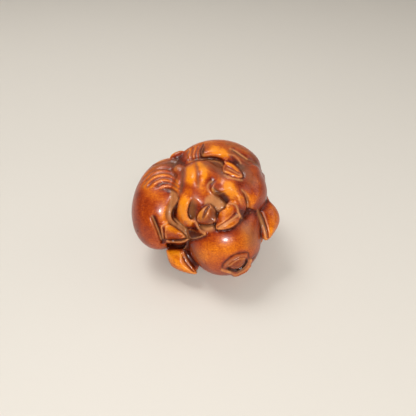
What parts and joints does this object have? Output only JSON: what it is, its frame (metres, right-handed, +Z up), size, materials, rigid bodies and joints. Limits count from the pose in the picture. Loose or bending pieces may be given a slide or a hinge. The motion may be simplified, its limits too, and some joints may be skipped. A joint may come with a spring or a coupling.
{
  "type": "pig carving",
  "caption": "Palm-size boxwood carving of plump pigs curled together into one rounded ball, with heads, flop ears, folded legs and cloven feet in relief.",
  "frame": {"origin": "centre of the bounding box at the level of the flat underside it stands on", "axes": "+Z up; -Y towards the side that shows the front head; +X towards that head's hanging ear"},
  "size_m": [0.0448, 0.0446, 0.0336],
  "materials": {
    "boxwood": "polished oiled boxwood, darker in the cuts"
  },
  "bodies": {
    "root": {"pig_carving": "boxwood"}
  },
  "joints": []
}
